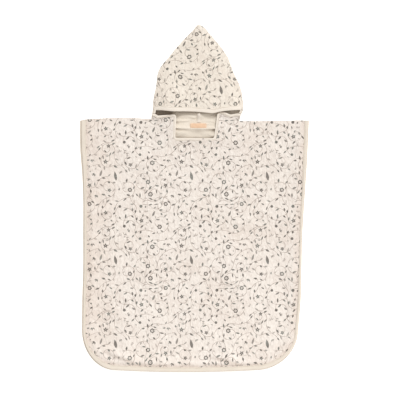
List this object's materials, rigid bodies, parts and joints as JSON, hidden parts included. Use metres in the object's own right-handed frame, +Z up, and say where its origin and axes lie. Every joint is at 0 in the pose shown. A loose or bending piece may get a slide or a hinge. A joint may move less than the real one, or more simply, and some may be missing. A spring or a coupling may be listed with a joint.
{
  "type": "hooded bath poncho",
  "caption": "Child's hooded bath poncho in printed muslin towelling with taped edges, laid out flat with its front up and its pointed hood above the neck notch.",
  "frame": {"origin": "centre of the laid-out garment's outline, on the surface it lies on", "axes": "+Y from the hem to the hood's point, +X towards the wearer's left, +Z up off the surface, out of the printed front"},
  "size_m": [0.5735, 0.87, 0.0245],
  "materials": {
    "printed_cloth": "cream cotton muslin with a small grey-green vine print outside and plain towelling inside, matt, softly crinkled",
    "plain_tape": "plain cream cotton muslin tape, folded and topstitched",
    "woven_label": "plain peach woven label, faint satin sheen"
  },
  "bodies": {
    "root": {"back_panel": "printed_cloth", "front_panel": "printed_cloth", "hood": "printed_cloth", "back_edge_tape": "plain_tape", "front_edge_tape": "plain_tape", "neck_tape": "plain_tape", "brim_tape": "plain_tape", "hood_seam_tape": "plain_tape", "neck_label": "woven_label"}
  },
  "joints": []
}
